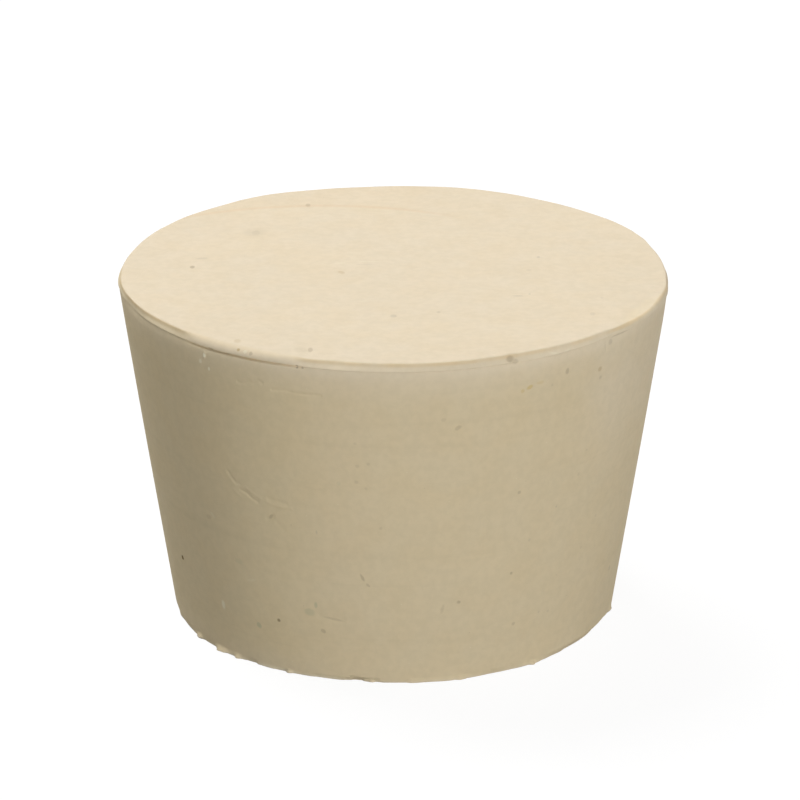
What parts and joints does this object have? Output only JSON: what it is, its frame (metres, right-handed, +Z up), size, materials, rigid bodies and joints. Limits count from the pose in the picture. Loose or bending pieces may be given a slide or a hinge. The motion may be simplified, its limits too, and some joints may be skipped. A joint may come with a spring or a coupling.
{
  "type": "rubber stopper",
  "caption": "Solid tapered rubber plug that closes the neck of a flask or bottle, with a trimmed rim at its wide end and no hole through it.",
  "frame": {"origin": "centre of the small end, on the plane that the stopper stands on", "axes": "+Z up along the taper's axis, from the small end to the large end; +X to the right seen from the front, and -Y towards the front"},
  "size_m": [0.041, 0.041, 0.026],
  "materials": {
    "cream_rubber": "matte"
  },
  "bodies": {
    "root": {"stopper": "cream_rubber"}
  },
  "joints": []
}
